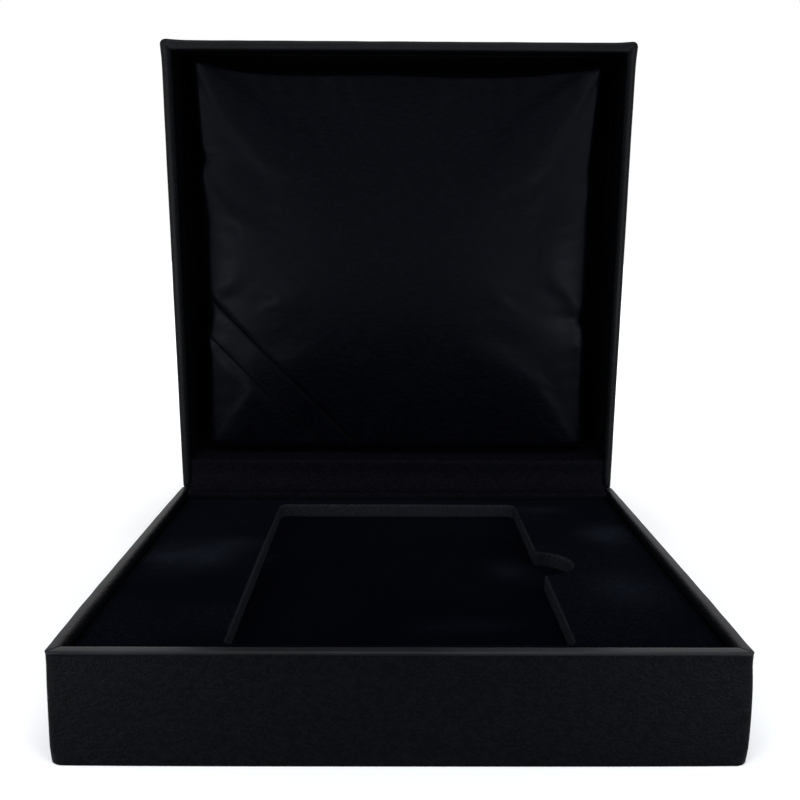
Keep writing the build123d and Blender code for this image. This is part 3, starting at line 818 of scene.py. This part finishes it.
# Satin cushion in the lid's frame. Its outline is drawn in between the corners and at the pinches;
# a and b run from -1 to 1 across it. Its height is a face that falls with powers 2 and 10 of a and 2 and 4
# of b, times an edge roll sqrt((1 - |a|^n) * (1 - |b|^n)), tight because n is large.
cushionLow, cushionHigh = nodeBox("lid_cushion", True)
cushionLook = {
    "half": cushionHigh[0], "near": 8.8, "far": cushionHigh[1], "seam": -10.95, "crown": cushionHigh[2],
    "floor": cushionLow[2], "flatness": 170, "fall": (0.24, 0.28), "sideDraw": 1.5, "farDraw": 2.5,
    "inset": (-0.62, -0.02), "nearBulge": 0.4, "gather": 0.007, "ribbonDent": 0.45, "rows": 216,
    # place, height and width
    "farSwells": ((0, 0.2, 9), (-0.07, 1.25, 0.37), (-1, 1.6, 0.14), (1, 0.4, 0.2)),
    # share of the way up, depth and reach
    "leftPinches": ((0.775, 0.45, 0.022), (0.715, -0.5, 0.035), (0.61, 0.3, 0.03), (0.375, 0.35, 0.035),
                    (0.295, -0.5, 0.03)),
    "rightPinches": ((0.8, 0.4, 0.11), (0.75, 0.3, 0.03), (0.64, 0.2, 0.05), (0.36, 0.6, 0.028),
                     (0.30, -0.3, 0.03)),
    # side, share of the way up, depth and reach
    "creases": ((-1, 0.775, 0.07, 4.5), (1, 0.36, 0.06, 4.5), (1, 0.72, 0.03, 5), (-1, 0.56, 0.03, 5))}
ribbonLook = {"start": (-47.7, 44.1), "end": (-14.5, 8.8), "width": 6.7, "thickness": 0.2, "lift": 0.04,
              "flare": 0.3, "short": 0.9995, "rows": 90, "columns": 14}
ribbonStart, ribbonEnd = np.array(ribbonLook["start"]), np.array(ribbonLook["end"])
ribbonWay = (ribbonEnd - ribbonStart) / np.linalg.norm(ribbonEnd - ribbonStart)
slackLook = {"cells": 90, "scale": 10, "rise": 20, "hold": 0.05, "mass": 0.05, "bending": 0.1,
             "pressure": 3.0, "shrink": -0.007, "frames": 20, "reach": 0.18}
coverRelief = np.zeros((slackLook["cells"], slackLook["cells"]))


def withBells(start, bells, share):
    return sum((height * bell(share - place, width) for place, height, width in bells), start)


def cushionSides(look, v):
    share = (v - look["near"]) / (look["far"] - look["near"])
    drawn = look["sideDraw"] * 4 * share * (1 - share)
    left, right = (withBells(drawn, look[side], share) for side in ("leftPinches", "rightPinches"))
    return -look["half"] + look["inset"][0] + left, look["half"] - look["inset"][1] - right


def cushionEnds(look, x):
    bow = 1 - (x / look["half"]) ** 2
    swell = withBells(0, look["farSwells"], x / look["half"])
    return look["near"] - look["nearBulge"] * bow, look["far"] - look["farDraw"] * bow + swell


def cushionPlace(look, a, b):
    # solves x = middle + a * half width at v, and v = middle + b * half length at x, by iteration
    x, v = a * look["half"], (look["near"] + look["far"]) / 2 + b * (look["far"] - look["near"]) / 2
    for _ in range(8):
        left, right = cushionSides(look, v)
        x = (left + right) / 2 + a * (right - left) / 2
        near, far = cushionEnds(look, x)
        v = (near + far) / 2 + b * (far - near) / 2
    return x, v


def cushionShares(look, x, v):
    left, right = cushionSides(look, v)
    near, far = cushionEnds(look, x)
    a = (2 * x - left - right) / (right - left)
    b = (2 * v - near - far) / (far - near)
    return np.clip(a, -1, 1), np.clip(b, -1, 1)


def cushionHeight(look, a, b, x, v):
    n = look["flatness"]
    dome = np.sqrt(np.maximum(1 - np.abs(a) ** n, 0) * np.maximum(1 - np.abs(b) ** n, 0))
    lower = 1 + 0.9 * step(-b, 0.35, 0.95)
    face = 1 - look["fall"][0] * (0.22 * a**2 + 0.78 * a**10 * lower)
    face = face - look["fall"][1] * (0.6 * b**2 + 0.4 * b**4) * (1 - 0.75 * a**6)
    share = (v - look["near"]) / (look["far"] - look["near"])
    fromSide = (1 - np.abs(a)) * look["half"]
    fromEnd = (1 - np.abs(b)) * look["half"]
    for side, place, depth, reach in look["creases"]:
        crease = bell(share - place, 0.016 + 0.0022 * fromSide) * np.exp(-fromSide / reach)
        face = face - depth * crease * (a * side > 0)
    here = stacked(x, v, 0)
    gathers = np.exp(-fromSide / 4.5) * np.sin(v * 1.15 + 2 * ripple(here, 24, 51))
    gathers += np.exp(-fromEnd / 4.5) * np.sin(x * 1.05 + 2 * ripple(here, 24, 52))
    face = face + look["gather"] * gathers
    # the ribbon presses a groove: a steep wall on its upper side, a gentle rise on its lower side
    across = (v - ribbonStart[1]) * ribbonWay[0] - (x - ribbonStart[0]) * ribbonWay[1]
    wall = 1 / (1 + np.exp(np.clip((across - 3.65) / 0.13, -40, 40)))
    dent = look["ribbonDent"] * wall * (1 - step(-across, 3.2, 7.0))
    swell = 0.14 * ripple(here, 34, 53) + slackAt(a, b)
    return look["seam"] + (look["crown"] - look["seam"] - 0.15) * dome * face + (swell - dent) * dome


def slackAt(a, b):
    # bell-weighted mean of the nearest points of the cover's relief
    share = np.linspace(-1, 1, slackLook["cells"])
    weights = [bell(part.reshape(-1, 1) - share, 0.9 * (share[1] - share[0])) for part in (a, b)]
    weights = [weight / weight.sum(1, keepdims=True) for weight in weights]
    return ((weights[1] @ coverRelief) * weights[0]).sum(1).reshape(a.shape)


def blownCover(look, slack):
    # Cloth on a coarse sheet of the cover, scaled up, held along its seam and blown out from inside.
    # Relief = how far each point came out, less the fourth-power surface through all of them, and capped.
    share = np.linspace(-1, 1, slack["cells"])
    a, b = np.meshgrid(share, share)
    x, v = cushionPlace(look, a, b)
    start = stacked(x, v, cushionHeight(look, a, b, x, v) + slack["rise"]).reshape(-1, 3)
    corner = (np.arange(len(share) - 1)[:, None] * len(share) + np.arange(len(share) - 1)).ravel()
    quads = np.stack([corner, corner + 1, corner + 1 + len(share), corner + len(share)], 1)
    sheet = makeMesh("cover", start * slack["scale"], quads)
    border = np.maximum(np.abs(a), np.abs(b)).ravel() > 0.999
    held = sheet.vertex_groups.new(name="held")
    held.add(np.flatnonzero(border).tolist(), 1.0, "REPLACE")
    held.add(np.flatnonzero(~border).tolist(), slack["hold"], "REPLACE")
    cloth = sheet.modifiers.new("cover", "CLOTH").settings
    cloth.quality = 8
    cloth.mass = slack["mass"]
    cloth.bending_stiffness = slack["bending"]
    cloth.vertex_group_mass = "held"
    cloth.use_pressure = True
    cloth.uniform_pressure_force = slack["pressure"]
    cloth.shrink_min = slack["shrink"]
    cloth.effector_weights.gravity = 0
    for moment in range(1, slack["frames"] + 1):
        bpy.context.scene.frame_set(moment)
    blown = sheet.evaluated_get(bpy.context.evaluated_depsgraph_get()).data
    points = np.empty(len(start) * 3)
    blown.vertices.foreach_get("co", points)
    came = points.reshape(-1, 3)[:, 2] / mm / slack["scale"] - start[:, 2]
    bpy.data.objects.remove(sheet)
    bpy.context.scene.frame_set(1)
    u, w = a.ravel(), b.ravel()
    powers = np.stack([u**i * w**j for i in range(5) for j in range(5 - i)], 1)
    smooth = powers[~border] @ np.linalg.lstsq(powers[~border], came[~border], rcond=None)[0]
    relief = came * 0
    relief[~border] = slack["reach"] * np.tanh((came[~border] - smooth) / slack["reach"])
    print("cover came out", round(came.min(), 2), "to", round(came.max(), 2), "mm, relief spread",
          round(relief.std(), 3))
    return relief.reshape(a.shape) * step(1 - np.maximum(np.abs(a), np.abs(b)), 0, 0.03)


def cushionPoints(look):
    turn = np.linspace(-math.pi / 2, math.pi / 2, look["rows"])
    spread = 0.55 * np.sin(turn) + 0.45 * turn / (math.pi / 2)
    spread = np.sign(spread) * (1 - (1 - np.abs(spread)) ** 1.35)
    a, b = np.meshgrid(spread, spread)
    x, v = cushionPlace(look, a, b)
    top = cushionHeight(look, a, b, x, v)
    under = np.sqrt(np.maximum(1 - np.abs(a) ** 26, 0) * np.maximum(1 - np.abs(b) ** 26, 0))
    bottom = look["seam"] + (look["floor"] - look["seam"]) * under
    return x, v, top, bottom


coverRelief = blownCover(cushionLook, slackLook)
x, v, top, bottom = cushionPoints(cushionLook)
cushion = makeShell("satin_cushion", fromLid(x, v, top), fromLid(x, v, bottom), welded=True)
dress(cushion, "satin", ["lid_cushion", "cushion_foam"], "lid")


def ribbonShares(look):
    # places across the ribbon from -1 to 1, crowded at its edges so that they stay crisp
    return np.sin(np.linspace(-1, 1, look["columns"]) * math.pi / 2)


def ribbonPoints(look, form):
    # runs straight across the corner, laid on the cushion's own height down to its seam
    turn = np.linspace(-math.pi / 2, math.pi / 2, look["rows"])[:, None]
    run = (np.sin(turn) * 0.5 + turn / math.pi) / 2 + 0.5
    side = ribbonShares(look)[None, :] * look["width"] / 2
    side = side * (1 + look["flare"] * (side > 0) * (1 - run) ** 2)
    where = ribbonStart + (ribbonEnd - ribbonStart) * (run[..., None] * 1.16 - 0.08)
    where = where + np.array([ribbonWay[1], -ribbonWay[0]]) * side[..., None]
    a, b = (share * look["short"] for share in cushionShares(form, where[..., 0], where[..., 1]))
    x, v = cushionPlace(form, a, b)
    surface = fromLid(x, v, cushionHeight(form, a, b, x, v))
    normal = np.cross(np.gradient(surface, axis=0), np.gradient(surface, axis=1))
    normal /= np.maximum(np.linalg.norm(normal, axis=-1), 1e-9)[..., None]
    normal *= np.sign(normal @ lidOut)[..., None]
    return surface + normal * (look["lift"] + look["thickness"]), surface + normal * look["lift"]


outer, inner = ribbonPoints(ribbonLook, cushionLook)
# painted shade along the ribbon's edges, where the selvedge is also duller
selvedge = bell(np.abs(ribbonShares(ribbonLook)) - 1, 0.12) + 0 * outer[..., 0]
ribbon = makeShell("satin_ribbon", outer, inner, selvedge=(selvedge, selvedge))
dress(ribbon, "ribbon_satin", ["certificate_ribbon"], "lid")
print("lining:", x.shape, "and", outer.shape[:2])


# Floor, light and camera
stageLook = {"size": 3000.0, "tone": 0.78, "nearGlow": 0.24, "farGlow": 1.0, "reach": (0.05, 0.16),
             "along": 0.3}


def plainRays(tree):
    # 1 for rays that show the backdrop: seen directly, in a gloss or through glass
    path = node("LightPath", {}, tree).outputs
    both = plus(path["Is Camera Ray"], path["Is Glossy Ray"])
    return plus(both, path["Is Transmission Ray"], True)


def makeFloor(look):
    # matt and pale; its glow grows away from the box, mostly to its sides, so only the shadow stays grey
    corners = np.array([(-1, -1, 0), (1, -1, 0), (1, 1, 0), (-1, 1, 0)]) * look["size"]
    floor = makeMesh("floor", corners, np.array([[0, 1, 2, 3]]))
    material = bpy.data.materials.new("pale floor")
    tree = emptied(material)
    squeezed = scaled(node("TexCoord", {}, tree).outputs["Object"], (1, look["along"], 1))
    away = node("VectorMath", {0: squeezed}, operation="LENGTH").outputs["Value"]
    strength = remap(away, *look["reach"], look["nearGlow"], look["farGlow"])
    matt = node("BsdfDiffuse", {"Color": (look["tone"],) * 3 + (1,)}, tree).outputs[0]
    glow = node("Emission", {"Color": (1, 1, 1, 1), "Strength": strength}).outputs[0]
    both = node("AddShader", {0: matt, 1: glow}).outputs[0]
    shown = node("MixShader", {0: plainRays(tree), 1: matt, 2: both}).outputs[0]
    node("OutputMaterial", {0: shown})
    floor.data.materials.append(material)


def makeWorld(level):
    # white where it is seen or mirrored, and an even pale room for everything else
    world = bpy.data.worlds.new("room")
    bpy.context.scene.world = world
    tree = emptied(world)
    room = node("Background", {"Color": (0.95, 0.97, 1, 1), "Strength": level}, tree).outputs[0]
    white = node("Background", {"Color": (1, 1, 1, 1), "Strength": 1.0}, tree).outputs[0]
    shown = node("MixShader", {0: plainRays(tree), 1: room, 2: white}).outputs[0]
    node("OutputWorld", {0: shown})


# place, size and power of each lamp, in metres and watts
lampLook = {
    "overhead": ((0.0, -0.20, 0.62), (0.50, 0.36), 2.2),
    "left": ((-0.28, -0.42, 0.13), (0.13, 0.22), 0.6),
    "right": ((0.28, -0.42, 0.13), (0.13, 0.22), 0.6),
    "lowLeft": ((-0.11, -0.135, 0.016), (0.05, 0.02), 0.10),
    "lowRight": ((0.11, -0.135, 0.016), (0.05, 0.02), 0.10)}
aim = np.array([0, 0, 0.045])


def stood(name, data, axes, place):
    # an object with the given x, y and z axes, at a place in metres
    made = bpy.data.objects.new(name, data)
    made.matrix_world = Matrix([*np.stack([*axes, place], 1).tolist(), [0, 0, 0, 1]])
    bpy.context.scene.collection.objects.link(made)
    return made


def makeLamp(name, place, size, power):
    lamp = bpy.data.lights.new(name, "AREA")
    lamp.shape = "RECTANGLE"
    lamp.size, lamp.size_y = size
    lamp.energy = power
    lamp.color = (0.93, 0.96, 1.0)
    back = np.array(place) - aim
    back /= np.linalg.norm(back)
    right = np.cross((0, 0, 1), back)
    right /= np.linalg.norm(right)
    stood(name, lamp, (right, np.cross(back, right), back), place).visible_camera = False


cameraLook = {"place": (-1.48, -206.92, 81.2), "yaw": 0.4503, "down": 8.8582, "roll": 0.2827,
              "focal": 1055.24, "picture": 800}


def makeCamera(look):
    yaw, down, roll = (math.radians(look[key]) for key in ("yaw", "down", "roll"))
    ahead = np.array([math.sin(yaw) * math.cos(down), math.cos(yaw) * math.cos(down), -math.sin(down)])
    level = np.array([math.cos(yaw), -math.sin(yaw), 0])
    above = np.cross(level, ahead)
    right = level * math.cos(roll) + above * math.sin(roll)
    up = above * math.cos(roll) - level * math.sin(roll)
    data = bpy.data.cameras.new("camera")
    data.sensor_width = 36
    data.lens = 36 * look["focal"] / look["picture"]
    data.clip_start, data.clip_end = 0.01, 20
    place = np.array(look["place"]) * mm
    bpy.context.scene.camera = stood("camera", data, (right, up, -ahead), place)


makeFloor(stageLook)
makeWorld(0.5)
for name, look in lampLook.items():
    makeLamp(name, *look)
makeCamera(cameraLook)
bpy.context.scene.view_settings.view_transform = "Standard"
